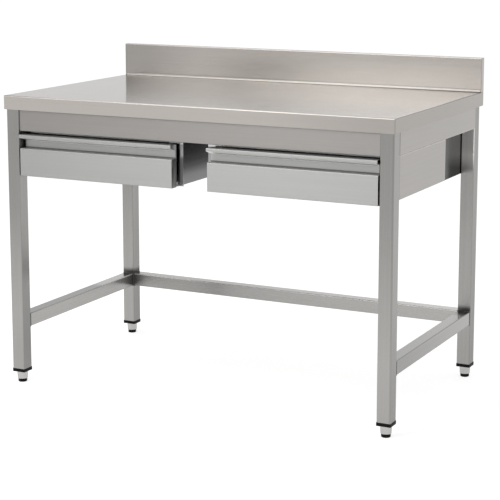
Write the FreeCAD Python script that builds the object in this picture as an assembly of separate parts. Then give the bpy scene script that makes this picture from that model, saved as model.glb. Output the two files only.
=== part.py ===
import FreeCAD, Part
import math
import os

V = FreeCAD.Vector

# A stainless work table with an upstand and two drawers. Millimetres, Z up from the floor.
# X runs along the front, Y from the front to the back, and the origin is under the middle of the top.
top_length = 1200.0
top_depth = 700.0
work_height = 850.0

# Worktop: one folded sheet with hemmed edges, turned up along the back into a hollow upstand.
top_sheet = 1.5
top_bend = 1.5
edge_height = 40.0
hem_height = 12.0
upstand_height = 100.0
upstand_depth = 20.0
upstand_sweep = 6.0

# Stiffening under the sheet: a board, carried by two hat channels.
board_thickness = 18.0
board_edge_gap = 4.0
channel_height = 30.0
channel_width = 60.0
channel_brim = 15.0
channel_front_inset = 150.0
channel_rear_inset = 170.0

# Legs: square tube, set in from the hems of the worktop.
leg_width = 40.0
leg_wall = 1.5
leg_corner = 3.0
leg_side_gap = 1.0
leg_front_gap = 5.0
leg_rear_gap = 17.0

# Adjustable feet: a pad, a stem with a threaded stud, and a plastic insert that closes the tube.
pad_diameter = 26.0
pad_height = 10.0
pad_round = 2.5
stem_top_diameter = 32.0
stem_bottom_diameter = 30.0
stem_height = 22.5
stem_chamfer = 0.8
stud_diameter = 12.0
stud_length = 50.0
stud_play = 0.3
foot_gap = 0.5
collar_height = 9.0
collar_overhang = 1.0
plug_length = 48.0
plug_play = 0.25

# Aprons: folded channels between the legs, flush with their outer faces but set in at the front.
apron_sheet = 1.5
apron_bend = 0.5
apron_front_inset = 5.0
apron_drop = 62.0
apron_flange = 20.0

# Stretchers: tubes between the legs at both sides and along the back.
stretcher_height = 40.0
stretcher_width = 37.0
stretcher_wall = 1.5
stretcher_corner = 3.0
stretcher_lift = 163.0

# Drawer fronts: a folded box below, and a recessed pull with a forward lip above. The recess stops
# short of the leg, and the lip's reach, tip and drop run to the sharp corners of its folds.
middle_gap = 110.0
front_leg_gap = 4.0
front_sheet = 1.2
front_bend = 1.0
front_height = 120.0
front_top_gap = 9.0
front_depth = 28.0
front_flange = 30.0
ledge_drop = 40.0
recess_depth = 22.0
recess_end_gap = 5.0
lip_reach = 6.0
lip_tip = 9.0
lip_drop = 17.0

# Drawer casings: two walls, a back and a front rail for each drawer, hung from the channels.
casing_sheet = 1.5
casing_bend = 1.0
casing_setback = 38.0
casing_rear_lap = 10.0
wall_top_flange = 20.0
wall_bottom_flange = 45.0
outer_wall_drop = 6.0
wall_front_flange = 16.0
ear_height = 14.0
inner_ear_width = 25.0
outer_ear_width = 12.0
back_height = 150.0
back_flange = 15.0
rail_drop = 10.0
rail_height = 30.0
rail_flange = 15.0

# Telescopic slides: cabinet, middle and drawer rails, nested with running play.
slide_width = 12.7
slide_height = 45.0
slide_sheet = 1.2
slide_bend = 0.8
slide_play = 0.6
slide_setback = 6.0
slide_rear_room = 98.0
slide_rise = 42.0
cabinet_lip = 9.0
middle_trim = 10.0

# Drawer trays, welded up from a bottom, two sides and two ends, and what stops them.
tray_sheet = 1.2
tray_lift = 9.0
tray_height = 102.0
tray_hem = 10.0
tray_rear_gap = 14.0
buffer_diameter = 14.0
buffer_play = 0.3
buffer_rise = 40.0

# Side covers: folded panels behind the front legs, level with the aprons.
cover_sheet = 1.5
cover_bend = 0.5
cover_length = 347.0
cover_height = 115.0
cover_front_flange = 20.0

# Fasteners, and the holes that clear them.
hole_play = 0.3
bolt_diameter = 6.0
bolt_length = 11.0
bolt_head_diameter = 11.0
bolt_head_height = 4.0
nut_width = 10.0
nut_height = 5.0
rivet_diameter = 4.0
rivet_head_diameter = 8.0
rivet_head_height = 0.9
rivet_tail_diameter = 7.0
rivet_tail_height = 1.2
rail_rivet_shares = (0.12, 0.5, 0.88)
front_rivet_shares = (0.2, 0.8)

# Every cut runs past the face that it opens by this much, and points closer than coincident are one.
overrun = 2.0
coincident = 0.000001

# Heights, from the top down.
edge_bottom = work_height - edge_height
board_top = work_height - top_sheet
board_bottom = board_top - board_thickness
channel_bottom = board_bottom - channel_height
apron_bottom = edge_bottom - apron_drop
front_top = apron_bottom - front_top_gap
front_bottom = front_top - front_height
ledge_top = front_top - ledge_drop
tray_bottom = front_bottom + tray_lift
tray_top = tray_bottom + tray_height
slide_centre = tray_bottom + slide_rise
collar_bottom = pad_height + stem_height + foot_gap
leg_bottom = collar_bottom + collar_height

# Planes across the table.
half_length = top_length / 2
half_depth = top_depth / 2
upstand_front = half_depth - upstand_depth
hem_thickness = 2 * top_sheet
channel_front_y = -half_depth + channel_front_inset
channel_rear_y = half_depth - channel_rear_inset
leg_outer_x = half_length - hem_thickness - leg_side_gap
leg_inner_x = leg_outer_x - leg_width
leg_front_y = -half_depth + hem_thickness + leg_front_gap
leg_front_back_y = leg_front_y + leg_width
leg_rear_y = half_depth - hem_thickness - leg_rear_gap
leg_rear_front_y = leg_rear_y - leg_width

# Planes of the right-hand drawer and its casing; the left-hand one mirrors it.
casing_near_x = middle_gap / 2
casing_far_x = leg_inner_x
casing_mid_x = (casing_near_x + casing_far_x) / 2
near_wall_x = casing_near_x + casing_sheet
far_wall_x = casing_far_x - casing_sheet
casing_front_y = leg_front_y + casing_setback
casing_rear_y = leg_rear_front_y + casing_rear_lap
casing_length = casing_rear_y - casing_front_y
front_far_x = leg_inner_x - front_leg_gap
front_width = front_far_x - casing_near_x
front_back_y = leg_front_y + front_depth
tray_near_x = near_wall_x + slide_width
tray_far_x = far_wall_x - slide_width
tray_rear_y = casing_rear_y - tray_rear_gap
slide_front_y = casing_front_y + slide_setback
slide_length = casing_length - slide_setback - slide_rear_room


def place(axis, at, a, b):
    """A point at distance `at` along an axis, with its other two coordinates in order."""
    if axis == "x":
        return V(at, a, b)
    if axis == "y":
        return V(a, at, b)
    return V(a, b, at)


def rounded_corner(before, corner, after, radius):
    """Start, middle and end of the arc that rounds one corner of an outline."""
    back = (before - corner).normalize()
    ahead = (after - corner).normalize()
    half = back.getAngle(ahead) / 2
    reach = radius / math.tan(half)
    bisector = (back + ahead).normalize()
    middle = corner + bisector * (radius / math.sin(half) - radius)
    return corner + back * reach, middle, corner + ahead * reach


def prism(axis, start, length, points, radii):
    """Solid of an outline with rounded corners, pushed along an axis."""
    flat = [V(a, b, 0) for a, b in points]
    following = flat[1:] + flat[:1]
    corners = [rounded_corner(flat[i - 1], flat[i], following[i], radii[i]) for i in range(len(flat))]
    arcs = [[place(axis, start, p.x, p.y) for p in corner] for corner in corners]
    edges = []
    for i, (first, middle, last) in enumerate(arcs):
        if radii[i] > 0:
            edges.append(Part.Arc(first, middle, last).toShape())
        following_first = arcs[(i + 1) % len(arcs)][0]
        if last.distanceToPoint(following_first) > coincident:
            edges.append(Part.makeLine(last, following_first))
    return Part.Face(Part.Wire(edges)).extrude(place(axis, length, 0, 0))


def block(axis, start, length, a0, a1, b0, b1, radius=0):
    """Solid bar of rectangular section with its four long edges rounded alike."""
    return prism(axis, start, length, [(a0, b0), (a1, b0), (a1, b1), (a0, b1)], [radius] * 4)


def tube(axis, start, length, a0, a1, b0, b1, wall, radius):
    """Hollow bar of rectangular section."""
    outer = block(axis, start, length, a0, a1, b0, b1, radius)
    inner = block(axis, start, length, a0 + wall, a1 - wall, b0 + wall, b1 - wall, radius - wall)
    return outer.cut(inner)


def folded(axis, start, length, path, sheet, bend):
    """Folded sheet whose face follows the path, with the sheet on the path's left."""
    line = [V(a, b, 0) for a, b in path]
    ways = [(line[i + 1] - line[i]).normalize() for i in range(len(line) - 1)]
    lefts = [V(-way.y, way.x, 0) for way in ways]
    inner = [line[0] + lefts[0] * sheet]
    outer_radii = [0]
    inner_radii = [0]
    for i in range(len(ways) - 1):
        mitre = (lefts[i] + lefts[i + 1]) * (sheet / (1 + lefts[i].dot(lefts[i + 1])))
        inner.append(line[i + 1] + mitre)
        turns_left = ways[i].cross(ways[i + 1]).z > 0
        outer_radii.append(bend + sheet if turns_left else bend)
        inner_radii.append(bend if turns_left else bend + sheet)
    inner.append(line[-1] + lefts[-1] * sheet)
    outer_radii.append(0)
    inner_radii.append(0)
    points = [(p.x, p.y) for p in line + inner[::-1]]
    return prism(axis, start, length, points, outer_radii + inner_radii[::-1])


def rod(axis, start, length, a, b, diameter):
    """Round bar along an axis."""
    return Part.makeCylinder(diameter / 2, length, place(axis, start, a, b), place(axis, 1, 0, 0))


def mirrored(shape, at=0, axis="x"):
    """The shape on the other side of a plane across an axis."""
    return shape.mirror(place(axis, at, 0, 0), place(axis, 1, 0, 0))


def fused(shapes):
    """One solid from overlapping or touching shapes."""
    return shapes[0].multiFuse(shapes[1:]).removeSplitter()


def top_body(inset, bottom):
    """Outer form of the worktop, drawn in by an inset: a slab, the upstand and the sweep between."""
    radius = top_bend + top_sheet - inset
    sweep = upstand_sweep + inset
    face = work_height - inset
    side = half_length - inset
    front = -half_depth + inset
    back = half_depth - inset
    rise = upstand_front + inset
    peak = work_height + upstand_height - inset
    slab = [(front, bottom), (back, bottom), (back, face), (front, face)]
    slab_y = prism("x", -side, 2 * side, slab, [0, 0, 0, radius])
    span = [(-side, bottom), (side, bottom), (side, face), (-side, face)]
    slab_x = prism("y", front, back - front, span, [0, 0, radius, radius])
    slab_z = block("z", bottom, face - bottom, -side, side, front, back, radius)
    wall = [(rise, bottom), (back, bottom), (back, peak), (rise, peak)]
    upstand = prism("x", -side, 2 * side, wall, [0, 0, radius, radius])
    cove = [(rise - sweep, face - radius), (rise + radius, face - radius), (rise + radius, face + sweep)]
    cove += [(rise, face + sweep), (rise, face), (rise - sweep, face)]
    inner_side = side - radius
    filler = prism("x", -inner_side, 2 * inner_side, cove, [0, 0, 0, 0, sweep, 0])
    return fused([slab_y.common(slab_x).common(slab_z), upstand, filler])


def upstand_end(start):
    """Plug of the upstand's hollow section above the work surface, one sheet thick."""
    low = work_height
    high = work_height + upstand_height - top_sheet
    front = upstand_front + top_sheet
    back = half_depth - top_sheet
    outline = [(front, low), (back, low), (back, high), (front, high)]
    return prism("x", start, top_sheet, outline, [0, 0, top_bend, top_bend])


def worktop():
    """Folded sheet: top, hemmed edges and upstand, open at the upstand's ends for its caps."""
    hem_top = edge_bottom + hem_height
    mouth_x = half_length - hem_thickness
    mouth_y = half_depth - hem_thickness
    mouth = block("z", edge_bottom - overrun, hem_height + 2 * overrun, -mouth_x, mouth_x, -mouth_y, mouth_y)
    hollow = top_body(top_sheet, hem_top)
    ends = [upstand_end(-half_length), upstand_end(half_length - top_sheet)]
    return top_body(0, edge_bottom).cut(fused([mouth, hollow])).cut(ends)


def core_board():
    """Board glued under the sheet, short of its folds."""
    side = half_length - top_sheet - board_edge_gap
    front = -half_depth + top_sheet + board_edge_gap
    back = upstand_front - upstand_sweep - board_edge_gap
    return block("z", board_bottom, board_thickness, -side, side, front, back)


def bolt_places(channel_y):
    """Where the bolts of one channel hold the casing walls' top flanges, right side first."""
    near = near_wall_x + (wall_top_flange - casing_sheet) / 2
    far = 2 * casing_mid_x - near
    return [(x, channel_y) for x in (near, far, -near, -far)]


def bolt_hole(x, y):
    """Clearance for one casing bolt through the flange and the channel."""
    height = 2 * (casing_sheet + top_sheet) + 2 * overrun
    return rod("z", channel_bottom - height / 2, height, x, y, bolt_diameter + 2 * hole_play)


def top_channel(centre_y):
    """Hat channel across the underside of the board, between the side aprons' flanges."""
    end = leg_outer_x - apron_flange
    half = channel_width / 2
    path = [(centre_y - half - channel_brim, board_bottom - top_sheet)]
    path += [(centre_y - half, board_bottom - top_sheet), (centre_y - half, channel_bottom)]
    path += [(centre_y + half, channel_bottom), (centre_y + half, board_bottom - top_sheet)]
    path += [(centre_y + half + channel_brim, board_bottom - top_sheet)]
    channel = folded("x", -end, 2 * end, path, top_sheet, top_bend)
    return channel.cut([bolt_hole(x, y) for x, y in bolt_places(centre_y)])


def casing_bolts():
    """Bolts with nuts that hang the casing walls from the channels."""
    solids = []
    grip = casing_sheet + top_sheet
    low = channel_bottom - casing_sheet
    for x, y in bolt_places(channel_front_y) + bolt_places(channel_rear_y):
        head = rod("z", low - bolt_head_height, bolt_head_height, x, y, bolt_head_diameter)
        solids.append(fused([head, rod("z", low, bolt_length, x, y, bolt_diameter)]))
        radius = nut_width / math.sqrt(3)
        turns = [math.radians(60 * i) for i in range(6)]
        hexagon = [(x + radius * math.cos(t), y + radius * math.sin(t)) for t in turns]
        nut = prism("z", low + grip, nut_height, hexagon, [0] * 6)
        solids.append(nut.cut(rod("z", low, bolt_length, x, y, bolt_diameter + 2 * hole_play)))
    return Part.makeCompound(solids)


def leg(x0, y0):
    """Square tube from the foot's collar up to the board."""
    return tube("z", leg_bottom, board_bottom - leg_bottom, x0, x0 + leg_width, y0, y0 + leg_width,
                leg_wall, leg_corner)


def leg_insert(x, y):
    """Plastic plug in the end of a leg, with a collar below it and a bore for the stud."""
    half = leg_width / 2 + collar_overhang
    collar = block("z", collar_bottom, collar_height, x - half, x + half, y - half, y + half, leg_corner)
    slim = leg_width / 2 - leg_wall - plug_play
    plug = block("z", leg_bottom, plug_length, x - slim, x + slim, y - slim, y + slim, leg_corner - leg_wall)
    bore = rod("z", 0, leg_bottom + plug_length + overrun, x, y, stud_diameter + 2 * stud_play)
    return fused([collar, plug]).cut(bore)


def foot_stem(x, y):
    """Tapered round stem with a threaded stud that runs up into the insert."""
    low = pad_height
    high = pad_height + stem_height
    bottom = stem_bottom_diameter / 2
    top = stem_top_diameter / 2
    body = Part.makeCone(bottom, top, stem_height, V(x, y, low))
    rim = [edge for edge in body.Edges if edge.BoundBox.ZMin > (low + high) / 2]
    return fused([body.makeChamfer(stem_chamfer, rim), rod("z", high, stud_length, x, y, stud_diameter)])


def foot_pad(x, y):
    """Plastic pad with a rounded lower rim."""
    pad = rod("z", 0, pad_height, x, y, pad_diameter)
    rim = [edge for edge in pad.Edges if edge.BoundBox.ZMax < pad_height / 2]
    return pad.makeFillet(pad_round, rim)


def apron(axis, start, length, face, inward):
    """Folded channel whose web stands on the plane `face` and whose flanges turn inwards."""
    tip = face + inward * apron_flange
    path = [(tip, board_bottom), (face, board_bottom), (face, apron_bottom), (tip, apron_bottom)]
    if inward < 0:
        path.reverse()
    return folded(axis, start, length, path, apron_sheet, apron_bend)


def stretcher(axis, start, length, centre):
    """Tube between two legs, centred on them."""
    half = stretcher_width / 2
    return tube(axis, start, length, centre - half, centre + half, stretcher_lift,
                stretcher_lift + stretcher_height, stretcher_wall, stretcher_corner)


def casing_wall(ear_width, bottom):
    """Wall beside the middle of the table, with its flanges turned into the casing."""
    path = [(casing_near_x + wall_top_flange, channel_bottom), (casing_near_x, channel_bottom)]
    path += [(casing_near_x, bottom), (casing_near_x + wall_bottom_flange, bottom)]
    wall = folded("y", casing_front_y, casing_length, path, casing_sheet, casing_bend)
    ear_bottom = apron_bottom - rail_drop
    ear = block("y", casing_front_y, casing_sheet, casing_near_x + casing_bend, near_wall_x + ear_width,
                ear_bottom, ear_bottom + ear_height)
    return fused([wall, ear]).cut([bolt_hole(x, y) for x, y in wall_bolts()])


def wall_bolts():
    """The bolt places on the wall beside the middle of the right-hand casing."""
    return [bolt_places(channel_front_y)[0], bolt_places(channel_rear_y)[0]]


def near_wall():
    """Casing wall beside the middle gap, with a front flange turned out into it."""
    flange = block("y", casing_front_y, casing_sheet, casing_near_x - wall_front_flange,
                   casing_near_x + casing_sheet, front_bottom + casing_sheet, channel_bottom - casing_sheet)
    return fused([casing_wall(inner_ear_width, front_bottom), flange])


def far_wall():
    """Casing wall beside the legs, hung a little lower to show below the side cover's return."""
    return mirrored(casing_wall(outer_ear_width, front_bottom - outer_wall_drop), casing_mid_x)


def casing_back():
    """Panel across the rear of a casing, between the walls and above their bottom folds."""
    low = front_bottom + casing_sheet + casing_bend
    high = low + back_height
    face = casing_rear_y - casing_sheet
    path = [(face + back_flange, high), (face, high), (face, low), (face + back_flange, low)]
    return folded("x", near_wall_x, far_wall_x - near_wall_x, path, casing_sheet, casing_bend)


def casing_front_rail():
    """Channel across the front of a casing, above the drawer and behind the walls' ears."""
    low = apron_bottom - rail_drop
    high = low + rail_height
    face = casing_front_y + casing_sheet
    path = [(face + rail_flange, high), (face, high), (face, low), (face + rail_flange, low)]
    return folded("x", near_wall_x, far_wall_x - near_wall_x, path, casing_sheet, casing_bend)


def cabinet_rail():
    """Outer rail of a slide, on the casing wall."""
    half = slide_height / 2
    tip = near_wall_x + cabinet_lip
    path = [(tip, slide_centre + half), (near_wall_x, slide_centre + half)]
    path += [(near_wall_x, slide_centre - half), (tip, slide_centre - half)]
    return folded("y", slide_front_y, slide_length, path, slide_sheet, slide_bend)


def middle_rail():
    """Rail that runs between the other two and travels half as far as the drawer."""
    step = slide_sheet + slide_play
    half = slide_height / 2 - step
    web = near_wall_x + step
    tip = near_wall_x + slide_width - step
    path = [(tip, slide_centre + half), (web, slide_centre + half)]
    path += [(web, slide_centre - half), (tip, slide_centre - half)]
    length = slide_length - 2 * middle_trim
    return folded("y", slide_front_y + middle_trim, length, path, slide_sheet, slide_bend)


def rail_rivet_places():
    """Y of each rivet along a drawer rail."""
    return [slide_front_y + share * slide_length for share in rail_rivet_shares]


def rail_rivet_hole(y):
    """Clearance for one rivet through a drawer rail and the side that it is riveted to."""
    reach = slide_sheet + tray_sheet + 2 * overrun
    start = tray_near_x - slide_sheet - overrun
    return rod("x", start, reach, y, slide_centre, rivet_diameter + 2 * hole_play)


def drawer_rail():
    """Inner rail of a slide, riveted to the side of the tray."""
    step = slide_sheet + slide_play
    half = slide_height / 2 - 2 * step
    tip = near_wall_x + 2 * step
    path = [(tip, slide_centre - half), (tray_near_x, slide_centre - half)]
    path += [(tray_near_x, slide_centre + half), (tip, slide_centre + half)]
    rail = folded("y", slide_front_y, slide_length, path, slide_sheet, slide_bend)
    return rail.cut([rail_rivet_hole(y) for y in rail_rivet_places()])


def front_rivet_places():
    """X and Z of the rivets that join a drawer front to its tray, within both their flanges."""
    low = (tray_bottom + front_bottom + front_flange) / 2
    high = (front_top - front_flange + tray_top - tray_hem) / 2
    width = tray_far_x - tray_near_x
    return [(tray_near_x + share * width, z) for share in front_rivet_shares for z in (low, high)]


def front_rivet_hole(x, z):
    """Clearance for one rivet through the front's flange and the tray's front wall."""
    reach = front_sheet + tray_sheet + 2 * overrun
    return rod("y", front_back_y - front_sheet - overrun, reach, x, z, rivet_diameter + 2 * hole_play)


def drawer_bottom():
    """Flat sheet that closes a tray below."""
    return block("z", tray_bottom, tray_sheet, tray_near_x, tray_far_x, front_back_y, tray_rear_y)


def tray_wall(axis, start, length, face):
    """Upright sheet on the bottom, with a closed hem turned in along its rim."""
    low = tray_bottom + tray_sheet
    hem_bottom = tray_top - tray_hem
    inner = face + tray_sheet
    hemmed = inner + tray_sheet
    outline = [(face, low), (inner, low), (inner, hem_bottom), (hemmed, hem_bottom)]
    outline += [(hemmed, tray_top), (face, tray_top)]
    return prism(axis, start, length, outline, [0, 0, 0, 0, tray_sheet, tray_sheet])


def drawer_sides():
    """Two walls along a tray, whose hems stop at the ends' hems."""
    wall = tray_wall("y", front_back_y, tray_rear_y - front_back_y, tray_near_x)
    inner = tray_near_x + tray_sheet
    corner = block("y", front_back_y - overrun, 2 * tray_sheet + overrun, inner,
                   inner + tray_sheet + overrun, tray_top - tray_hem, tray_top + overrun)
    corners = [corner, mirrored(corner, (front_back_y + tray_rear_y) / 2, "y")]
    near = wall.cut(corners + [rail_rivet_hole(y) for y in rail_rivet_places()])
    return Part.makeCompound([near, mirrored(near, casing_mid_x)])


def drawer_ends():
    """Front and rear walls of a tray, fitted between its sides."""
    inner = tray_near_x + tray_sheet
    wall = tray_wall("x", inner, tray_far_x - tray_sheet - inner, front_back_y)
    rear = mirrored(wall, (front_back_y + tray_rear_y) / 2, "y")
    return Part.makeCompound([wall.cut([front_rivet_hole(x, z) for x, z in front_rivet_places()]), rear])


def drawer_front():
    """Folded front: a box below, a ledge, the recess of the pull and a lip that slopes back under it."""
    face = leg_front_y
    web = face + recess_depth
    path = [(front_back_y, front_top - front_flange), (front_back_y, front_top)]
    path += [(face - lip_reach, front_top), (face - lip_reach, front_top - lip_tip)]
    path += [(web, front_top - lip_drop), (web, ledge_top), (face, ledge_top)]
    path += [(face, front_bottom), (front_back_y, front_bottom)]
    path += [(front_back_y, front_bottom + front_flange)]
    body = folded("x", casing_near_x, front_width, path, front_sheet, front_bend)
    radius = front_bend + front_sheet
    side = [(face, front_bottom), (front_back_y, front_bottom), (front_back_y, ledge_top), (face, ledge_top)]
    near_end = prism("x", casing_near_x, front_sheet, side, [radius, radius, 0, radius])
    far_end = prism("x", front_far_x - front_sheet, front_sheet, side, [radius, radius, 0, radius])
    notch = block("z", ledge_top, ledge_drop - lip_drop, front_far_x - recess_end_gap, front_far_x + overrun,
                  web - overrun, front_back_y + overrun)
    holes = [front_rivet_hole(x, z) for x, z in front_rivet_places()]
    return fused([body, near_end, far_end]).cut(holes + [notch])


def rivet(axis, start, grip, a, b):
    """Rivet with a flat head at the start of its grip and a set tail at the end."""
    head = rod(axis, start - rivet_head_height, rivet_head_height, a, b, rivet_head_diameter)
    shank = rod(axis, start, grip, a, b, rivet_diameter)
    tail = rod(axis, start + grip, rivet_tail_height, a, b, rivet_tail_diameter)
    return fused([head, shank, tail])


def drawer_rivets():
    """Rivets that hold a drawer's rails to the tray's sides and its front to the front end."""
    rail_grip = slide_sheet + tray_sheet
    near = [rivet("x", tray_near_x - slide_sheet, rail_grip, y, slide_centre) for y in rail_rivet_places()]
    far = [mirrored(solid, casing_mid_x) for solid in near]
    front_grip = front_sheet + tray_sheet
    front = [rivet("y", front_back_y - front_sheet, front_grip, x, z) for x, z in front_rivet_places()]
    return Part.makeCompound(near + far + front)


def drawer_buffers():
    """Rubber stops on the casing backs, two behind each tray."""
    length = tray_rear_gap - casing_sheet - buffer_play
    start = tray_rear_y + buffer_play
    quarter = (tray_far_x - tray_near_x) / 4
    places = [casing_mid_x - quarter, casing_mid_x + quarter]
    right = [rod("y", start, length, x, tray_bottom + buffer_rise, buffer_diameter) for x in places]
    return Part.makeCompound(right + [mirrored(solid) for solid in right])


def side_cover():
    """Folded panel beside the right-hand casing, from the front leg to its return at the wall."""
    back = leg_front_back_y + cover_length
    path = [(leg_inner_x, back), (leg_outer_x, back), (leg_outer_x, leg_front_back_y)]
    path += [(leg_outer_x - cover_front_flange, leg_front_back_y)]
    return folded("z", apron_bottom - cover_height, cover_height, path[::-1], cover_sheet, cover_bend)


def table_nodes():
    """Every piece of the table by name."""
    nodes = {"worktop": worktop(), "core_board": core_board(), "casing_bolts": casing_bolts()}
    nodes["top_channel_front"] = top_channel(channel_front_y)
    nodes["top_channel_rear"] = top_channel(channel_rear_y)
    cap = upstand_end(half_length - top_sheet)
    nodes["upstand_caps"] = Part.makeCompound([cap, mirrored(cap)])
    for x_name, x0 in (("left", -leg_outer_x), ("right", leg_inner_x)):
        for y_name, y0 in (("front", leg_front_y), ("rear", leg_rear_front_y)):
            corner = y_name + "_" + x_name
            centre = (x0 + leg_width / 2, y0 + leg_width / 2)
            nodes["leg_" + corner] = leg(x0, y0)
            nodes["leg_insert_" + corner] = leg_insert(*centre)
            nodes["foot_stem_" + corner] = foot_stem(*centre)
            nodes["foot_pad_" + corner] = foot_pad(*centre)
    bay = leg_rear_front_y - leg_front_back_y
    nodes["apron_front"] = apron("x", -leg_inner_x, 2 * leg_inner_x, leg_front_y + apron_front_inset, 1)
    nodes["apron_rear"] = apron("x", -leg_inner_x, 2 * leg_inner_x, leg_rear_y, -1)
    nodes["apron_left"] = apron("y", leg_front_back_y, bay, -leg_outer_x, 1)
    nodes["apron_right"] = apron("y", leg_front_back_y, bay, leg_outer_x, -1)
    leg_middle = leg_outer_x - leg_width / 2
    nodes["stretcher_left"] = stretcher("y", leg_front_back_y, bay, -leg_middle)
    nodes["stretcher_right"] = stretcher("y", leg_front_back_y, bay, leg_middle)
    nodes["stretcher_rear"] = stretcher("x", -leg_inner_x, 2 * leg_inner_x, leg_rear_y - leg_width / 2)
    nodes["drawer_buffers"] = drawer_buffers()
    return nodes


def drawer_nodes():
    """The pieces of the right-hand drawer and its casing by name."""
    nodes = {"casing_wall_inner": near_wall(), "casing_wall_outer": far_wall(), "casing_back": casing_back()}
    nodes["casing_front_rail"] = casing_front_rail()
    nodes["side_cover"] = side_cover()
    for name, shape in (("cabinet", cabinet_rail()), ("drawer", drawer_rail())):
        nodes[name + "_rail_inner"] = shape
        nodes[name + "_rail_outer"] = mirrored(shape, casing_mid_x)
    middle = middle_rail()
    nodes["middle_rails"] = Part.makeCompound([middle, mirrored(middle, casing_mid_x)])
    nodes["drawer_bottom"] = drawer_bottom()
    nodes["drawer_sides"] = drawer_sides()
    nodes["drawer_ends"] = drawer_ends()
    nodes["drawer_front"] = drawer_front()
    nodes["drawer_rivets"] = drawer_rivets()
    return nodes


pieces = table_nodes()
for piece, shape in drawer_nodes().items():
    pieces[piece + "_right"] = shape
    pieces[piece + "_left"] = mirrored(shape)

os.makedirs("parts", exist_ok=True)
for piece, shape in pieces.items():
    shape.exportStep("parts/" + piece + ".step")
    print(piece, len(shape.Solids), "solids", "valid" if shape.isValid() else "faulty", round(shape.Volume))
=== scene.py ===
import bpy
import math
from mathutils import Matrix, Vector


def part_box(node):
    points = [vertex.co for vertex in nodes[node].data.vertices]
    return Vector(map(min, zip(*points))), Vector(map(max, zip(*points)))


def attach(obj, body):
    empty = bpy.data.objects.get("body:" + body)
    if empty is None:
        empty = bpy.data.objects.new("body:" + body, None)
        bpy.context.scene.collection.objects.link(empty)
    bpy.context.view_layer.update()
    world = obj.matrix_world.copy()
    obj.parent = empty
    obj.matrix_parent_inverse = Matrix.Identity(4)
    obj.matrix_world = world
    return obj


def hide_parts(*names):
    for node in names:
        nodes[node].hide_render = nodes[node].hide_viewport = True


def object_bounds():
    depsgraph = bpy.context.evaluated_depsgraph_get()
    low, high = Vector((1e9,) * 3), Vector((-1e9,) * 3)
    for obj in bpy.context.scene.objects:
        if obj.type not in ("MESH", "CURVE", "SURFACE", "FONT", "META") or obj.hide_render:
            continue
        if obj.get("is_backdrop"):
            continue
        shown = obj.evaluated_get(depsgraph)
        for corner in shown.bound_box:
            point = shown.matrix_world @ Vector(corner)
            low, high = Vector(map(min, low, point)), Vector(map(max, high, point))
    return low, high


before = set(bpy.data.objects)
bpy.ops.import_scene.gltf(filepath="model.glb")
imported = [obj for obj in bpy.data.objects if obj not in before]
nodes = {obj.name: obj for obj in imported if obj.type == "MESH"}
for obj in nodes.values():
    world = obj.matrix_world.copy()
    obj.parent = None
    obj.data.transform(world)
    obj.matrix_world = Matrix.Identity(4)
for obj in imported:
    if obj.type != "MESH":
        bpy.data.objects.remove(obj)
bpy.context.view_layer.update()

# Legs: four square stainless tubes, cut to length, with the mill grain running down them.
# The bands of tone on the steel, here and below, follow the photo, and are mostly painted light, painted
# shade and painted reflections. The dark inside corners of the rear legs, beside the stretchers' ends, are
# painted shade.
CORNERS = ("front_left", "front_right", "rear_left", "rear_right")
TO_FRONT = (0.0, -1.0, 0.0)
TO_RIGHT = (1.0, 0.0, 0.0)
TUBE_COLOUR = (0.345, 0.339, 0.328)
TUBE_CONTRAST = 0.06
LEG_ROUGHNESS = 0.3
LEG_CORNER_SHADE_WIDTH = 0.005
# Share and rise of the painted shade in the rear legs' inside corners.
CORNER_SHADE_SHARE = 0.25
CORNER_SHADE_RISE = 0.014
NOISE_LOW, NOISE_HIGH = 0.3, 0.7
STREAKS_ALONG, STREAKS_ACROSS = 1.6, 240.0
STREAK_DETAIL = 3.0
STREAK_SHARE = 0.55
CLOUDS_PER_METRE = 2.6
SCRATCHES_ALONG, SCRATCHES_ACROSS = 6.0, 900.0
SCRATCH_STRENGTH = 0.05
SCRATCH_DEPTH = 0.0002
ROUGHNESS_SPREAD = 0.03


def add_node(material, kind, **values):
    """A shader node with the named sockets set, where an underscore stands for a space."""
    made = material.node_tree.nodes.new(kind)
    for socket, value in values.items():
        made.inputs[socket.replace("_", " ")].default_value = value
    return made


def link(material, source, target):
    """Joins an output socket to an input socket."""
    material.node_tree.links.new(source, target)


def noise(material, scale, detail=2.0):
    """Noise over the piece in metres, with its own scale along each axis."""
    place = add_node(material, "ShaderNodeTexCoord")
    stretch = add_node(material, "ShaderNodeMapping", Scale=scale)
    grain = add_node(material, "ShaderNodeTexNoise", Scale=1.0, Detail=detail)
    link(material, place.outputs["Object"], stretch.inputs["Vector"])
    link(material, stretch.outputs["Vector"], grain.inputs["Vector"])
    return grain.outputs["Fac"]


def ranged(material, source, low, high):
    """A noise's usual spread, stretched to run from low to high."""
    spread = add_node(material, "ShaderNodeMapRange", From_Min=NOISE_LOW, From_Max=NOISE_HIGH,
                      To_Min=low, To_Max=high)
    link(material, source, spread.inputs["Value"])
    return spread.outputs["Result"]


def tinted(material, factor, dark, light):
    """A colour that runs from dark to light with a factor."""
    mix = add_node(material, "ShaderNodeMix")
    mix.data_type = "RGBA"
    mix.inputs["A"].default_value = (*dark, 1.0)
    mix.inputs["B"].default_value = (*light, 1.0)
    link(material, factor, mix.inputs["Factor"])
    return mix.outputs["Result"]


def shaded(colour, share):
    """A colour made darker or lighter by a share."""
    return tuple(channel * share for channel in colour)


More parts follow.
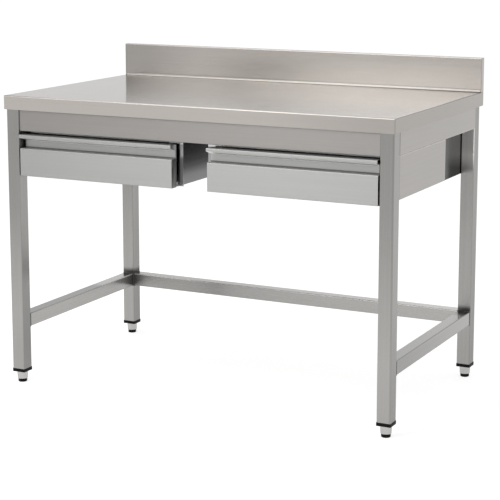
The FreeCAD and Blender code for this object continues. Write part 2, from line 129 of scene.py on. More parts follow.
def brushed_steel(name, colour, axis, roughness, anisotropy=0.75, contrast=0.035):
    """Satin stainless: long fine scratches along one axis, under faint clouds of tone."""
    material = bpy.data.materials.new(name)
    material.use_nodes = True
    shader = material.node_tree.nodes["Principled BSDF"]
    shader.inputs["Metallic"].default_value = 1.0
    shader.inputs["Anisotropic"].default_value = anisotropy
    tangent = add_node(material, "ShaderNodeTangent")
    tangent.direction_type = "RADIAL"
    tangent.axis = axis
    link(material, tangent.outputs["Tangent"], shader.inputs["Tangent"])

    def grained(along, across):
        return tuple(along if letter == axis else across for letter in "XYZ")

    streaks = noise(material, grained(STREAKS_ALONG, STREAKS_ACROSS), STREAK_DETAIL)
    clouds = noise(material, (CLOUDS_PER_METRE,) * 3)
    tone = add_node(material, "ShaderNodeMath")
    tone.operation = "ADD"
    link(material, ranged(material, streaks, 0.0, STREAK_SHARE), tone.inputs[0])
    link(material, ranged(material, clouds, 0.0, 1.0 - STREAK_SHARE), tone.inputs[1])
    dark, light = shaded(colour, 1.0 - contrast), shaded(colour, 1.0 + contrast)
    link(material, tinted(material, tone.outputs["Value"], dark, light), shader.inputs["Base Color"])
    scratches = noise(material, grained(SCRATCHES_ALONG, SCRATCHES_ACROSS))
    smooth, rough = roughness - ROUGHNESS_SPREAD, roughness + ROUGHNESS_SPREAD
    link(material, ranged(material, scratches, smooth, rough), shader.inputs["Roughness"])
    bump = add_node(material, "ShaderNodeBump", Strength=SCRATCH_STRENGTH, Distance=SCRATCH_DEPTH)
    link(material, scratches, bump.inputs["Height"])
    link(material, bump.outputs["Normal"], shader.inputs["Normal"])
    return material


def banded(material, axis, at, below, above, blur=0.0003, facing=None, past=None):
    """Scales a steel's tone by one share below a place on an axis and another above it.

    It can be kept to the faces that face a way, and to the part of the piece past a place on an axis.
    """
    colour = material.node_tree.nodes["Principled BSDF"].inputs["Base Color"]
    tone = colour.links[0].from_socket
    place = add_node(material, "ShaderNodeTexCoord")
    split = add_node(material, "ShaderNodeSeparateXYZ")
    link(material, place.outputs["Object"], split.inputs["Vector"])
    share = add_node(material, "ShaderNodeMapRange", From_Min=at - blur, From_Max=at + blur,
                     To_Min=below, To_Max=above)
    link(material, split.outputs[axis], share.inputs["Value"])
    amount = share.outputs["Result"]
    if past:
        past_axis, past_place = past
        short = add_node(material, "ShaderNodeMath")
        short.operation = "LESS_THAN"
        short.inputs[1].default_value = past_place
        link(material, split.outputs[past_axis], short.inputs[0])
        kept = add_node(material, "ShaderNodeMix", B=1.0)
        link(material, short.outputs["Value"], kept.inputs["Factor"])
        link(material, amount, kept.inputs["A"])
        amount = kept.outputs["Result"]
    if facing:
        turned = add_node(material, "ShaderNodeVectorMath")
        turned.operation = "DOT_PRODUCT"
        turned.inputs[1].default_value = facing
        link(material, place.outputs["Normal"], turned.inputs[0])
        eased = add_node(material, "ShaderNodeMix", A=1.0)
        link(material, turned.outputs["Value"], eased.inputs["Factor"])
        link(material, amount, eased.inputs["B"])
        amount = eased.outputs["Result"]
    scaled = add_node(material, "ShaderNodeVectorMath")
    scaled.operation = "SCALE"
    link(material, tone, scaled.inputs[0])
    link(material, amount, scaled.inputs["Scale"])
    link(material, scaled.outputs["Vector"], colour)


def faced(material, share, facing):
    """Scales a steel's tone on the faces that face a way."""
    banded(material, "X", at=0.0, below=share, above=share, facing=facing)


def painted_corner_shade(material, facing):
    """Paints shade on one face of a leg beside a stretcher's end and a little above it."""
    low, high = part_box("stretcher_rear")
    banded(material, "Z", at=high.z + CORNER_SHADE_RISE, below=CORNER_SHADE_SHARE, above=1.0, blur=0.006, facing=facing,
           past=("Z", low.z))


def dress(material, *names):
    """Gives CAD nodes their finish."""
    for name in names:
        nodes[name].data.materials.clear()
        nodes[name].data.materials.append(material)


# Each leg has its own copy of the steel, to carry its own painted light and shade.
leg_steels = {}
for corner in CORNERS:
    steel = brushed_steel("leg_steel_" + corner, TUBE_COLOUR, "Z", LEG_ROUGHNESS, anisotropy=0.85,
                          contrast=TUBE_CONTRAST)
    # Painted reflections: the front faces darker towards the top, the right faces darker towards the bottom.
    banded(steel, "Z", at=0.36, below=1.02, above=0.84, blur=0.15, facing=TO_FRONT)
    banded(steel, "Z", at=0.3, below=0.75, above=0.97, blur=0.25, facing=TO_RIGHT)
    if corner.startswith("rear"):
        # Painted light on the rear legs' front faces above the drawers, and painted shade in their inside
        # corners.
        banded(steel, "Z", at=0.65, below=1.0, above=2.7, blur=0.02, facing=TO_FRONT)
        painted_corner_shade(steel, TO_FRONT)
    leg_steels[corner] = steel
    dress(steel, "leg_" + corner)
# Painted shade in the rear left leg's inside corner, on its right face as well.
painted_corner_shade(leg_steels["rear_left"], TO_RIGHT)
# Painted shade on the front right leg's front face by its right corner, and painted light on its right face.
_, leg_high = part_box("leg_front_right")
banded(leg_steels["front_right"], "X", at=leg_high.x - LEG_CORNER_SHADE_WIDTH, below=1.0, above=0.85,
       facing=TO_FRONT)
faced(leg_steels["front_right"], share=1.12, facing=TO_RIGHT)

# Stretchers: three lengths of the same tube, butted flat between the legs, with the front left open.
# A thin rippled weld bead runs round each end. Shade is painted on the tubes where they meet the legs, and
# light and reflections along them.
UPWARD = (0.0, 0.0, 1.0)
TUBE_ROUND = 0.003
ROUND_STEPS = 6
SIDE_ROUGHNESS = 0.18
REAR_ROUGHNESS = 0.26
WELD_COLOUR = (0.07, 0.068, 0.065)
WELD_ROUGHNESS = 0.45
WELD_SIZE = 0.0018
WELD_RIPPLE = 0.15
WELD_STEP = 0.0008
STEPS_PER_RIPPLE = 4
BEAD_STEPS = 4
SHARP_ANGLE = 40.0


def add_piece(name, points, faces, material, body):
    """A piece built here: smooth but for its sharp edges, moving with a body."""
    mesh = bpy.data.meshes.new(name)
    mesh.from_pydata(points, [], faces)
    mesh.shade_smooth()
    mesh.set_sharp_from_angle(angle=math.radians(SHARP_ANGLE))
    mesh.materials.append(material)
    piece = bpy.data.objects.new(name, mesh)
    bpy.context.scene.collection.objects.link(piece)
    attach(piece, body)
    return piece


def rounded_ring(half_width, half_height, radius, spacing):
    """Even steps round a rounded rectangle: at each a point and the outward direction."""
    knots = []
    for corner, (right, up) in enumerate(((1, 1), (-1, 1), (-1, -1), (1, -1))):
        centre = Vector((right * (half_width - radius), up * (half_height - radius)))
        for step in range(ROUND_STEPS + 1):
            turn = math.radians(90 * corner + 90 * step / ROUND_STEPS)
            outward = Vector((math.cos(turn), math.sin(turn)))
            knots.append((centre + radius * outward, outward))
    ring = []
    for (start, out), (end, end_out) in zip(knots, knots[1:] + knots[:1]):
        steps = max(1, round((end - start).length / spacing))
        for i in range(steps):
            ring.append((start.lerp(end, i / steps), out.lerp(end_out, i / steps).normalized()))
    return ring


def weld_beads(stretcher, along):
    """Rippled beads round both ends of a stretcher, each a quarter round against the leg."""
    low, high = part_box(stretcher)
    middle, half = (low + high) / 2, (high - low) / 2
    sideways = Vector((1.0, 0.0, 0.0)) if along.y else Vector((0.0, 1.0, 0.0))
    upwards = Vector(UPWARD)
    ring = rounded_ring(half.dot(sideways), half.z, TUBE_ROUND, WELD_STEP)
    count, stride = len(ring), BEAD_STEPS + 2
    points, faces = [], []
    for way in (-1, 1):
        end = middle + way * half.dot(along) * along
        first = len(points)
        for i, (spot, out) in enumerate(ring):
            base = end + spot.x * sideways + spot.y * upwards
            outward = out.x * sideways + out.y * upwards
            size = WELD_SIZE * (1.0 + WELD_RIPPLE * math.sin(2 * math.pi * i / STEPS_PER_RIPPLE))
            for step in range(BEAD_STEPS + 1):
                turn = math.radians(90 * step / BEAD_STEPS)
                points.append(base + size * (math.cos(turn) * outward - way * math.sin(turn) * along))
            points.append(base - WELD_SIZE / 4 * outward)
        for i in range(count):
            here, following = first + stride * i, first + stride * ((i + 1) % count)
            for step in range(stride):
                onward = (step + 1) % stride
                faces.append((here + step, here + onward, following + onward, following + step))
    add_piece("welds_" + stretcher, points, faces, weld_steel, "table")


left_stretcher_steel = brushed_steel("left_stretcher_steel", TUBE_COLOUR, "Y", SIDE_ROUGHNESS,
                                     contrast=TUBE_CONTRAST)
_, left_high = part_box("stretcher_left")
# Painted light and shade: the right face lighter towards the front and dark by the rear leg, and the top
# darker over its front half, a painted reflection.
banded(left_stretcher_steel, "Y", at=0.0, below=1.15, above=1.0, blur=0.2, facing=TO_RIGHT)
banded(left_stretcher_steel, "Y", at=left_high.y - 0.028, below=1.0, above=0.4, blur=0.03, facing=TO_RIGHT)
banded(left_stretcher_steel, "Y", at=0.1, below=0.5, above=1.0, blur=0.02, facing=UPWARD)
dress(left_stretcher_steel, "stretcher_left")

# Painted reflection: the right stretcher's steel is darker than the left one's and lighter towards the rear,
# and painted shade darkens its top by the rear leg.
right_stretcher_steel = brushed_steel("right_stretcher_steel", shaded(TUBE_COLOUR, share=0.6), "Y",
                                      SIDE_ROUGHNESS, contrast=TUBE_CONTRAST)
right_low, right_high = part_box("stretcher_right")
banded(right_stretcher_steel, "Y", at=0.0, below=1.25, above=1.6, blur=0.3)
banded(right_stretcher_steel, "Y", at=right_high.y - 0.045, below=1.0, above=0.3, blur=0.02, facing=UPWARD)
dress(right_stretcher_steel, "stretcher_right")

# Painted light and shade: the rear stretcher is darker than the left one, lighter towards the right and on
# its top, and painted shade darkens its front by the rear left leg.
rear_stretcher_steel = brushed_steel("rear_stretcher_steel", shaded(TUBE_COLOUR, share=0.88), "X",
                                     REAR_ROUGHNESS, contrast=TUBE_CONTRAST)
rear_low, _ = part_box("stretcher_rear")
banded(rear_stretcher_steel, "X", at=0.1, below=1.0, above=1.28, blur=0.45)
banded(rear_stretcher_steel, "X", at=rear_low.x + 0.026, below=0.5, above=1.0, blur=0.025, facing=TO_FRONT)
faced(rear_stretcher_steel, share=1.3, facing=UPWARD)
dress(rear_stretcher_steel, "stretcher_rear")

weld_steel = brushed_steel("weld_steel", WELD_COLOUR, "Z", WELD_ROUGHNESS, anisotropy=0.0)
# Painted light: the beads on the right stretcher's outer face are five times lighter.
banded(weld_steel, "X", at=(right_low.x + right_high.x) / 2, below=1.0, above=5.0, facing=TO_RIGHT)
weld_beads("stretcher_left", Vector((0.0, 1.0, 0.0)))
weld_beads("stretcher_right", Vector((0.0, 1.0, 0.0)))
weld_beads("stretcher_rear", Vector((1.0, 0.0, 0.0)))

# Aprons: channels folded from sheet and welded between the legs, the front one set back a little, with two
# hat channels between them that carry the top. The side covers are folded from the same stock and meet the
# side aprons in a seam, along which a highlight is painted.
SHEET_COLOUR = (0.27, 0.258, 0.247)
SIDE_COLOUR = (0.37, 0.354, 0.338)
SHEET_ROUGHNESS = 0.34
SEAM_REACH = 0.0015
SEAM_HIGHLIGHT_SHARE = 1.6
long_sheet_steel = brushed_steel("long_sheet_steel", SHEET_COLOUR, "X", SHEET_ROUGHNESS)
dress(long_sheet_steel, "apron_front", "apron_rear", "top_channel_front", "top_channel_rear")
side_sheet_steel = brushed_steel("side_sheet_steel", SIDE_COLOUR, "Y", SHEET_ROUGHNESS)
apron_low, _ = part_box("apron_right")
# Painted highlight: a bright line on the side sheets along the side aprons' lower edge.
banded(side_sheet_steel, "Z", at=apron_low.z - SEAM_REACH, below=1.0, above=SEAM_HIGHLIGHT_SHARE)
banded(side_sheet_steel, "Z", at=apron_low.z + SEAM_REACH, below=1.0, above=1.0 / SEAM_HIGHLIGHT_SHARE)
dress(side_sheet_steel, "apron_left", "apron_right", "side_cover_left", "side_cover_right")

# Feet: a black moulded insert closes each leg, and a turned stainless stem with a black pad screws
# into it on a coarse thread to level the table.
PLASTIC_COLOUR = (0.004, 0.004, 0.004)
PLASTIC_ROUGHNESS = 0.55
PLASTIC_GRAIN = 900.0
PLASTIC_SHINE = 0.12
MOULD_CLOUDS = 40.0
MOULD_DARK, MOULD_LIGHT = 0.8, 1.25
MOULD_SPREAD = 0.06
MOULD_STRENGTH = 0.15
MOULD_DEPTH = 0.0002
STEM_COLOUR = (0.47, 0.465, 0.455)
STEM_ROUGHNESS = 0.28
STEM_HEIGHT = 0.0225
STEM_BOTTOM_RADIUS = 0.015
STEM_BREAK = 0.0008
STUD_RADIUS = 0.006
THREAD_DEPTH = 0.0009
THREAD_PITCH = 0.00175
THREAD_STEPS = 24
ROOT_END, CREST_START, CREST_END = 0.15, 0.45, 0.65
TURNED_STEPS = 64


def moulded(name, colour, roughness, grain_size, shine=0.5):
    """Matt moulded plastic or rubber with a fine spark-eroded texture."""
    material = bpy.data.materials.new(name)
    material.use_nodes = True
    shader = material.node_tree.nodes["Principled BSDF"]
    shader.inputs["Specular IOR Level"].default_value = shine
    fine = noise(material, (grain_size,) * 3)
    broad = ranged(material, noise(material, (MOULD_CLOUDS,) * 3), 0.0, 1.0)
    dark, light = shaded(colour, MOULD_DARK), shaded(colour, MOULD_LIGHT)
    link(material, tinted(material, broad, dark, light), shader.inputs["Base Color"])
    smooth, rough = roughness - MOULD_SPREAD, roughness + MOULD_SPREAD
    link(material, ranged(material, fine, smooth, rough), shader.inputs["Roughness"])
    bump = add_node(material, "ShaderNodeBump", Strength=MOULD_STRENGTH, Distance=MOULD_DEPTH)
    link(material, fine, bump.inputs["Height"])
    link(material, bump.outputs["Normal"], shader.inputs["Normal"])
    return material


def lathe(profile, place, axis):
    """Points and faces of a form turned about an axis, from radii and distances along it."""
    turned = axis.to_track_quat("Z", "X")
    points, faces = [], []
    for radius, along in profile:
        for i in range(TURNED_STEPS):
            turn = 2 * math.pi * i / TURNED_STEPS
            points.append(place + turned @ Vector((radius * math.cos(turn), radius * math.sin(turn), along)))
    for row in range(len(profile) - 1):
        for i in range(TURNED_STEPS):
            onward = (i + 1) % TURNED_STEPS
            low, high = row * TURNED_STEPS, (row + 1) * TURNED_STEPS
            faces.append((low + i, low + onward, high + onward, high + i))
    faces.append(tuple(reversed(range(TURNED_STEPS))))
    last = (len(profile) - 1) * TURNED_STEPS
    faces.append(tuple(range(last, last + TURNED_STEPS)))
    return points, faces


def thread(place, length):
    """Points and faces of an upright screw thread with flat crests."""
    root, crest = STUD_RADIUS - THREAD_DEPTH, STUD_RADIUS
    section = ((root, 0.0), (root, ROOT_END), (crest, CREST_START), (crest, CREST_END))
    stride = len(section)
    steps = int((length / THREAD_PITCH - 1) * THREAD_STEPS)
    points, faces = [], []
    for i in range(steps + 1):
        turn = 2 * math.pi * i / THREAD_STEPS
        for radius, share in section:
            rise = THREAD_PITCH * (i / THREAD_STEPS + share)
            points.append(place + Vector((radius * math.cos(turn), radius * math.sin(turn), rise)))
    for i in range(steps):
        here, onward = stride * i, stride * (i + 1)
        for k in range(stride - 1):
            faces.append((here + k, onward + k, onward + k + 1, here + k + 1))
        above = here + stride * THREAD_STEPS
        if above + stride < len(points):
            faces.append((here + stride - 1, onward + stride - 1, above + stride, above))
    return points, faces


def joined(forms):
    """Several forms' points and faces as one."""
    points, faces = [], []
    for form_points, form_faces in forms:
        first = len(points)
        points += form_points
        faces += [tuple(first + i for i in face) for face in form_faces]
    return points, faces


foot_plastic = moulded("foot_plastic", PLASTIC_COLOUR, PLASTIC_ROUGHNESS, PLASTIC_GRAIN, PLASTIC_SHINE)
stem_steel = brushed_steel("stem_steel", STEM_COLOUR, "Z", STEM_ROUGHNESS)
for corner in CORNERS:
    dress(foot_plastic, "leg_insert_" + corner, "foot_pad_" + corner)
    low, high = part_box("foot_stem_" + corner)
    foot = Vector(((low.x + high.x) / 2, (low.y + high.y) / 2, low.z))
    rim = (high.x - low.x) / 2
    core = STUD_RADIUS - THREAD_DEPTH
    tip = high.z - low.z
    profile = [(STEM_BOTTOM_RADIUS - STEM_BREAK, 0.0), (STEM_BOTTOM_RADIUS, STEM_BREAK)]
    profile += [(rim, STEM_HEIGHT - STEM_BREAK), (rim - STEM_BREAK, STEM_HEIGHT), (core, STEM_HEIGHT)]
    profile += [(core, tip - STEM_BREAK), (core - STEM_BREAK, tip)]
    up = Vector(UPWARD)
    screw = thread(foot + STEM_HEIGHT * up, tip - STEM_HEIGHT - STEM_BREAK)
    points, faces = joined([lathe(profile, foot, up), screw])
    stem = add_piece("threaded_stem_" + corner, points, faces, stem_steel, "foot_" + corner)
    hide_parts("foot_stem_" + corner)

# Core board: plain particle board glued under the sheet, which stiffens and deadens the top.
# Its pressed chips show pale and dark.
CHIP_DARK = (0.22, 0.14, 0.075)
CHIP_LIGHT = (0.48, 0.34, 0.20)
CHIPS_PER_METRE = 260.0
CHIP_STRENGTH = 0.3
CHIP_DEPTH = 0.0003
BOARD_ROUGHNESS = 0.8
board_chips = bpy.data.materials.new("board_chips")
board_chips.use_nodes = True
board_shader = board_chips.node_tree.nodes["Principled BSDF"]
board_shader.inputs["Roughness"].default_value = BOARD_ROUGHNESS
chip_place = add_node(board_chips, "ShaderNodeTexCoord")
chips = add_node(board_chips, "ShaderNodeTexVoronoi", Scale=CHIPS_PER_METRE)
link(board_chips, chip_place.outputs["Object"], chips.inputs["Vector"])
chip_tone = add_node(board_chips, "ShaderNodeSeparateColor")
link(board_chips, chips.outputs["Color"], chip_tone.inputs["Color"])
chip_colour = tinted(board_chips, chip_tone.outputs["Red"], CHIP_DARK, CHIP_LIGHT)
link(board_chips, chip_colour, board_shader.inputs["Base Color"])
chip_bump = add_node(board_chips, "ShaderNodeBump", Strength=CHIP_STRENGTH, Distance=CHIP_DEPTH)
link(board_chips, chips.outputs["Distance"], chip_bump.inputs["Height"])
link(board_chips, chip_bump.outputs["Normal"], board_shader.inputs["Normal"])
dress(board_chips, "core_board")

# Worktop: one sheet, turned down and hemmed at its edges and turned up behind into a hollow upstand, with a
# small plate welded into each end of it. Its grain runs along the table. Painted light, shade and
# reflections change its tone at the folds, and along the front edge and the upstand.
TOP_COLOUR = (0.415, 0.39, 0.364)
TOP_ROUGHNESS = 0.15
CAP_ROUGHNESS = 0.24
UPSTAND_HEIGHT = 0.1
UPSTAND_BEND = 0.01
EDGE_BEND = 0.002
END_REACH = 0.0015
END_SHARE = 0.74
top_steel = brushed_steel("top_steel", TOP_COLOUR, "X", TOP_ROUGHNESS, anisotropy=0.8)
top_low, top_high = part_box("worktop")
surface = top_high.z - UPSTAND_HEIGHT
upstand = ("Z", surface + UPSTAND_BEND)
# Painted light and shade: the turned-down edges lighter than the top and the upstand.
banded(top_steel, "Z", at=surface - EDGE_BEND, below=1.1, above=0.76)
banded(top_steel, "X", at=top_high.x - END_REACH, below=1.0, above=END_SHARE)
banded(top_steel, "X", at=top_low.x + END_REACH, below=END_SHARE, above=1.0)
# Painted reflections: the top darker on its left, the front edge darker on its right, and bands of light and
# shade along the upstand's front.
banded(top_steel, "X", at=0.1, below=0.83, above=1.0, blur=0.2, facing=UPWARD)
banded(top_steel, "X", at=0.35, below=1.0, above=0.84, blur=0.2, facing=TO_FRONT)
banded(top_steel, "X", at=0.35, below=1.0, above=1.19, blur=0.2, facing=TO_FRONT, past=upstand)
banded(top_steel, "X", at=-0.42, below=1.04, above=1.24, blur=0.1, facing=TO_FRONT, past=upstand)
banded(top_steel, "X", at=0.08, below=1.0, above=0.84, blur=0.25, facing=TO_FRONT, past=upstand)
dress(top_steel, "worktop")
cap_steel = brushed_steel("cap_steel", TOP_COLOUR, "Y", CAP_ROUGHNESS)
dress(cap_steel, "upstand_caps")

# Drawer casings: sheet walls, a back and a front rail for each drawer, bolted up under the channels.
# Their steel is darker than the brushed outside. The paler front flanges and front rails are painted light,
# and the walls carry painted shade.
SIDES = ("left", "right")
CASING_COLOUR = (0.20, 0.20, 0.201)
CASING_SHEET = 0.0015
WALL_ROUGHNESS = 0.22
PANEL_ROUGHNESS = 0.3
BOLT_COLOUR = (0.36, 0.36, 0.355)
inner_wall_steel = brushed_steel("inner_wall_steel", CASING_COLOUR, "Y", WALL_ROUGHNESS)
wall_low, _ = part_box("casing_wall_inner_left")
# Painted light and shade on the inner walls: the front flange paler, the walls darker towards the top, and a
# pale strip along their top edge.
banded(inner_wall_steel, "Y", at=wall_low.y + CASING_SHEET, below=2.0, above=1.0)
banded(inner_wall_steel, "Z", at=0.69, below=1.0, above=0.7, blur=0.05)
banded(inner_wall_steel, "Z", at=0.7375, below=1.0, above=2.0)
# Painted shade: the outer walls much darker than the inner ones, most of all at the front and behind the
# side covers.
outer_wall_steel = brushed_steel("outer_wall_steel", shaded(CASING_COLOUR, share=0.36), "Y", WALL_ROUGHNESS)
banded(outer_wall_steel, "Y", at=-0.24, below=1.0, above=3.0, blur=0.03)
banded(outer_wall_steel, "Y", at=0.08, below=1.0, above=0.16, blur=0.06)
casing_back_steel = brushed_steel("casing_back_steel", shaded(CASING_COLOUR, share=1.35), "X",
                                  PANEL_ROUGHNESS)
# Painted light: the front rails are paler than the rest of the casing.
front_rail_steel = brushed_steel("front_rail_steel", shaded(CASING_COLOUR, share=2.5), "X",
                                 PANEL_ROUGHNESS)
bolt_steel = brushed_steel("bolt_steel", BOLT_COLOUR, "Z", PANEL_ROUGHNESS)
dress(bolt_steel, "casing_bolts")
for side in SIDES:
    dress(inner_wall_steel, "casing_wall_inner_" + side)
    dress(outer_wall_steel, "casing_wall_outer_" + side)
    dress(casing_back_steel, "casing_back_" + side)
    dress(front_rail_steel, "casing_front_rail_" + side)

# Slides: zinc-plated rails, rolled from strip, with a middle rail that runs between the other two.
# The zinc is a little blue beside the steel.
ZINC_COLOUR = (0.46, 0.465, 0.475)
ZINC_ROUGHNESS = 0.25
slide_zinc = brushed_steel("slide_zinc", ZINC_COLOUR, "Y", ZINC_ROUGHNESS)
for side in SIDES:
    dress(slide_zinc, "middle_rails_" + side)
    for place in ("inner_", "outer_"):
        dress(slide_zinc, "cabinet_rail_" + place + side, "drawer_rail_" + place + side)

# Drawers: a tray welded up from sheet, riveted to its rails and to a folded front with a recessed pull.
# The blind rivets have domed heads with a dimple, a plate closes the inner end of each hollow lip, and
# rubber buffers on the casing backs stop the trays.
TO_LEFT = (-1.0, 0.0, 0.0)
TRAY_COLOUR = (0.42, 0.42, 0.415)
TRAY_ROUGHNESS = 0.3
TRAY_HEM = 0.010
FRONT_COLOUR = (0.35, 0.349, 0.342)
FRONT_ROUGHNESS = 0.42
FRONT_END_SHADE_SHARE = 0.6
FRONT_FLANGE = 0.030
SHEET = 0.0012
LIP_DEPTH = 0.028
LIP_TIP = 0.009
LIP_DROP = 0.017
LEDGE_DROP = 0.040
LIP_END_BREAK = 0.0002
RIVET_COLOUR = (0.40, 0.40, 0.40)
RAIL_RIVET_SHARES = (0.12, 0.5, 0.88)
FRONT_RIVET_SHARES = (0.2, 0.8)
RIVET_HEAD_RADIUS = 0.004
RIVET_HEAD_HEIGHT = 0.0009
HEAD_TURNS = (30.0, 60.0, 90.0)
RIVET_TAIL_RADIUS = 0.0035
RIVET_TAIL_HEIGHT = 0.0012
TAIL_TURNS = (90.0, 65.0, 40.0, 20.0)
DIMPLE_RADIUS = 0.001
RUBBER_COLOUR = (0.015, 0.015, 0.015)
RUBBER_ROUGHNESS = 0.75
RUBBER_GRAIN = 500.0


def rivet(place, axis):
    """A set blind rivet through two sheets, its head before the place and its tail behind them."""
    profile = [(DIMPLE_RADIUS / 2, -RIVET_HEAD_HEIGHT / 2), (DIMPLE_RADIUS, -RIVET_HEAD_HEIGHT)]
    for turn in HEAD_TURNS:
        rise = math.cos(math.radians(turn))
        profile.append((RIVET_HEAD_RADIUS * math.sin(math.radians(turn)), -RIVET_HEAD_HEIGHT * rise))
    grip = 2 * SHEET
    for turn in TAIL_TURNS:
        rise = math.cos(math.radians(turn))
        profile.append((RIVET_TAIL_RADIUS * math.sin(math.radians(turn)), grip + RIVET_TAIL_HEIGHT * rise))
    return lathe(profile, place, axis)


def drawer_rivets(side):
    """Every rivet of one drawer: three through each rail and four through the front."""
    forms = []
    tray_low, tray_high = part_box("drawer_bottom_" + side)
    for place in ("inner_", "outer_"):
        low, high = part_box("drawer_rail_" + place + side)
        left_of_tray = low.x < (tray_low.x + tray_high.x) / 2
        start, way = (high.x - SHEET, 1.0) if left_of_tray else (low.x + SHEET, -1.0)
        for share in RAIL_RIVET_SHARES:
            spot = Vector((start, low.y + share * (high.y - low.y), (low.z + high.z) / 2))
            forms.append(rivet(spot, Vector((way, 0.0, 0.0))))
    front_low, front_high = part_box("drawer_front_" + side)
    ends_low, ends_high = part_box("drawer_ends_" + side)
    low_row = (tray_low.z + front_low.z + FRONT_FLANGE) / 2
    high_row = (front_high.z - FRONT_FLANGE + ends_high.z - TRAY_HEM) / 2
    for share in FRONT_RIVET_SHARES:
        for row in (low_row, high_row):
            spot = Vector((tray_low.x + share * (tray_high.x - tray_low.x), ends_low.y - SHEET, row))
            forms.append(rivet(spot, Vector((0.0, 1.0, 0.0))))
    points, faces = joined(forms)
    made = add_piece("blind_rivets_" + side, points, faces, rivet_steel, "drawer_" + side)
    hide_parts("drawer_rivets_" + side)


def lip_end(side):
    """The plate welded into the inner end of a front's hollow lip, and down between its web and flange."""
    low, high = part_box("drawer_front_" + side)
    top, web = high.z, low.y + LIP_DEPTH
    outline = [(low.y + SHEET, top - SHEET), (low.y + SHEET, top - LIP_TIP + SHEET)]
    outline += [(web + SHEET, top - LIP_DROP + SHEET), (web + SHEET, top - LEDGE_DROP)]
    outline += [(high.y - SHEET, top - LEDGE_DROP), (high.y - SHEET, top - SHEET)]
    count = len(outline)
    middle = Vector((sum(y for y, z in outline), sum(z for y, z in outline))) / count
    start, way = (high.x, -1.0) if side == "left" else (low.x, 1.0)
    points = []
    for depth, inset in ((0.0, LIP_END_BREAK), (LIP_END_BREAK, 0.0), (SHEET, 0.0)):
        for y, z in outline:
            inward = (middle - Vector((y, z))).normalized() * inset
            points.append(Vector((start + way * depth, y + inward.x, z + inward.y)))
    faces = [tuple(range(count)), tuple(reversed(range(2 * count, 3 * count)))]
    for row in (0, count):
        for i in range(count):
            onward = (i + 1) % count
            faces.append((row + onward, row + i, row + count + i, row + count + onward))
    if side == "right":
        faces = [tuple(reversed(face)) for face in faces]
    add_piece("lip_end_" + side, points, faces, lip_end_steel, "drawer_" + side)


tray_side_steel = brushed_steel("tray_side_steel", TRAY_COLOUR, "Y", TRAY_ROUGHNESS)
tray_end_steel = brushed_steel("tray_end_steel", TRAY_COLOUR, "X", TRAY_ROUGHNESS)
# Painted light: the lip end plates are nearly twice as light as the tray.
lip_end_steel = brushed_steel("lip_end_steel", shaded(TRAY_COLOUR, share=1.9), "Y", TRAY_ROUGHNESS)
front_steel = brushed_steel("front_steel", FRONT_COLOUR, "X", FRONT_ROUGHNESS)
_, front_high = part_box("drawer_front_left")
ledge = front_high.z - LEDGE_DROP
lip_bottom = front_high.z - LIP_TIP
# Painted shade and light on the fronts: a dark line just above the ledge, and the web lighter towards the
# lip, most of all just under it.
banded(front_steel, "Z", at=ledge + 0.0004, below=1.0, above=0.15)
banded(front_steel, "Z", at=ledge + 0.003, below=1.0, above=5.9, blur=0.0018)
banded(front_steel, "Z", at=ledge + 0.021, below=1.0, above=1.45)
banded(front_steel, "Z", at=ledge + 0.0245, below=1.0, above=1.9)
banded(front_steel, "Z", at=lip_bottom + 0.0002, below=1.0, above=0.385)
# Painted shade: the ends of the fronts that face sideways are darker.
faced(front_steel, FRONT_END_SHADE_SHARE, facing=TO_RIGHT)
faced(front_steel, FRONT_END_SHADE_SHARE, facing=TO_LEFT)
rivet_steel = brushed_steel("rivet_steel", RIVET_COLOUR, "X", TRAY_ROUGHNESS)
buffer_rubber = moulded("buffer_rubber", RUBBER_COLOUR, RUBBER_ROUGHNESS, RUBBER_GRAIN)
dress(buffer_rubber, "drawer_buffers")
for side in SIDES:
    dress(tray_side_steel, "drawer_sides_" + side, "drawer_bottom_" + side)
    dress(tray_end_steel, "drawer_ends_" + side)
    dress(front_steel, "drawer_front_" + side)
    drawer_rivets(side)
    lip_end(side)

# Studio: a plain pale floor that keeps the table's shadow, a soft white surround, and oval softboxes.
# One box above lights the upper edges, and two in front and a weak one behind light the upstand and
# the top.
WHITE = (1.0, 1.0, 1.0, 1.0)
FLOOR_COLOUR = (0.5, 0.5, 0.5, 1.0)
FLOOR_REACH = 30.0
FLOOR_GLOW = 0.75
AMBIENT = 0.55
scene = bpy.context.scene
scene.view_settings.view_transform = "Standard"


def seen_or_mirrored(tree):
    """One for rays that show the surround itself: straight from the camera, in a mirror or through glass."""
    rays = tree.nodes.new("ShaderNodeLightPath")
    total = rays.outputs["Is Camera Ray"]
    for kind in ("Is Glossy Ray", "Is Transmission Ray"):
        both = tree.nodes.new("ShaderNodeMath")
        both.operation = "ADD"
        both.use_clamp = True
        tree.links.new(total, both.inputs[0])
        tree.links.new(rays.outputs[kind], both.inputs[1])
        total = both.outputs["Value"]
    return total


def softbox(name, place, aim, width, height, power):
    """A soft oval studio lamp that the camera itself doesn't see."""
    lamp = bpy.data.lights.new(name, "AREA")
    lamp.shape = "ELLIPSE"
    lamp.size = width
    lamp.size_y = height
    lamp.energy = power
    made = bpy.data.objects.new(name, lamp)
    made.location = place
    made.rotation_euler = (Vector(aim) - Vector(place)).to_track_quat("-Z", "Y").to_euler()
    made.visible_camera = False
    scene.collection.objects.link(made)


surround = bpy.data.worlds.new("surround")
scene.world = surround
surround.use_nodes = True
sky = surround.node_tree
strength = sky.nodes.new("ShaderNodeMapRange")
strength.inputs["To Min"].default_value = AMBIENT
strength.inputs["To Max"].default_value = 1.0
sky.links.new(seen_or_mirrored(sky), strength.inputs["Value"])
background = sky.nodes["Background"]
background.inputs["Color"].default_value = WHITE
sky.links.new(strength.outputs["Result"], background.inputs["Strength"])

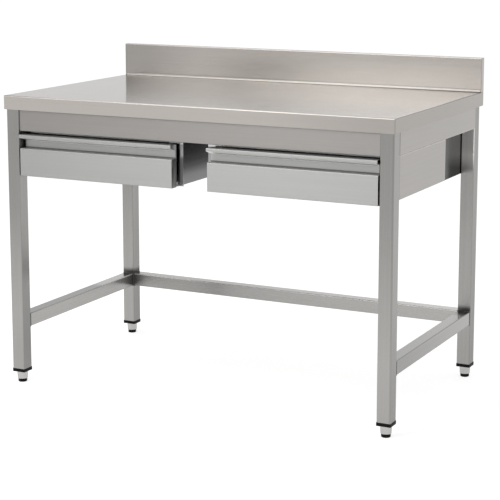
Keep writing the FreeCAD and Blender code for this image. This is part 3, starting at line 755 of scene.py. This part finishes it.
floor_corners = [(-FLOOR_REACH, -FLOOR_REACH, 0.0), (FLOOR_REACH, -FLOOR_REACH, 0.0)]
floor_corners += [(FLOOR_REACH, FLOOR_REACH, 0.0), (-FLOOR_REACH, FLOOR_REACH, 0.0)]
floor_mesh = bpy.data.meshes.new("floor")
floor_mesh.from_pydata(floor_corners, [], [(0, 1, 2, 3)])
floor = bpy.data.objects.new("floor", floor_mesh)
scene.collection.objects.link(floor)
floor_paint = bpy.data.materials.new("floor_paint")
floor_paint.use_nodes = True
paint = floor_paint.node_tree.nodes["Principled BSDF"]
paint.inputs["Base Color"].default_value = FLOOR_COLOUR
paint.inputs["Roughness"].default_value = 1.0
paint.inputs["Specular IOR Level"].default_value = 0.0
paint.inputs["Emission Color"].default_value = WHITE
glow = add_node(floor_paint, "ShaderNodeMath")
glow.operation = "MULTIPLY"
glow.inputs[1].default_value = FLOOR_GLOW
link(floor_paint, seen_or_mirrored(floor_paint.node_tree), glow.inputs[0])
link(floor_paint, glow.outputs["Value"], paint.inputs["Emission Strength"])
floor_mesh.materials.append(floor_paint)
floor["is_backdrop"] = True

softbox("top_softbox", place=(-1.1, -0.85, 3.4), aim=(-0.3, -0.3, 0.85), width=3.2, height=1.6, power=34.0)
softbox("front_softbox", place=(-0.84, -2.8, 1.75), aim=(0.3, 0.3, 0.9), width=1.7, height=1.4, power=20.0)
softbox("left_softbox", place=(-2.03, -2.7, 1.75), aim=(-0.4, 0.3, 0.9), width=0.84, height=1.4, power=5.6)
softbox("rear_softbox", place=(-0.1, 2.3, 2.0), aim=(0.4, -0.2, 0.85), width=1.4, height=1.0, power=3.0)

# Curtains: a strip of dark cloth hung well in front of the table and to its left, clear of the floor.
# The camera doesn't see it, but the steel mirrors it, most of all in the inside corner under the
# upstand, which so shows dark.
CURTAIN_COLOUR = (0.02, 0.02, 0.02, 1.0)
CURTAIN_LEFT, CURTAIN_RIGHT = -6.5, 0.5
CURTAIN_BOTTOM, CURTAIN_TOP = 1.15, 2.1
CURTAIN_DEPTH = -5.2
cloth = bpy.data.materials.new("curtain_cloth")
cloth.use_nodes = True
cloth_shader = cloth.node_tree.nodes["Principled BSDF"]
cloth_shader.inputs["Base Color"].default_value = CURTAIN_COLOUR
cloth_shader.inputs["Roughness"].default_value = 1.0
cloth_shader.inputs["Specular IOR Level"].default_value = 0.0
curtain_corners = [
    (CURTAIN_LEFT, CURTAIN_DEPTH, CURTAIN_BOTTOM),
    (CURTAIN_RIGHT, CURTAIN_DEPTH, CURTAIN_BOTTOM),
    (CURTAIN_RIGHT, CURTAIN_DEPTH, CURTAIN_TOP),
    (CURTAIN_LEFT, CURTAIN_DEPTH, CURTAIN_TOP),
]
curtain_mesh = bpy.data.meshes.new("curtains")
curtain_mesh.from_pydata(curtain_corners, [], [(0, 1, 2, 3)])
curtain_mesh.materials.append(cloth)
curtains = bpy.data.objects.new("curtains", curtain_mesh)
curtains.visible_camera = False
curtains.visible_diffuse = False
curtains.visible_shadow = False
scene.collection.objects.link(curtains)
curtains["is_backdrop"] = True

# Camera: a long lens to the right of the table and a little above it, as in the photo.
# Its picture is shifted down, so that the legs stand nearly upright in it.
CAMERA_PLACE = (2.0706, -4.1128, 1.3572)
CAMERA_YAW = 0.4637
CAMERA_PITCH = -0.1668
SENSOR_WIDTH = 36.0
IMAGE_SIDE = 500.0
FOCAL_PIXELS = 1601.2
AXIS_ROW = 185.0
lens = bpy.data.cameras.new("camera")
lens.sensor_width = SENSOR_WIDTH
lens.lens = FOCAL_PIXELS / IMAGE_SIDE * SENSOR_WIDTH
lens.shift_y = AXIS_ROW / IMAGE_SIDE - 0.5
camera = bpy.data.objects.new("camera", lens)
camera.location = CAMERA_PLACE
camera.rotation_euler = (math.pi / 2 + CAMERA_PITCH, 0.0, CAMERA_YAW)
scene.collection.objects.link(camera)
scene.camera = camera

# Sizes: the box of the dressed table.
low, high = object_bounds()
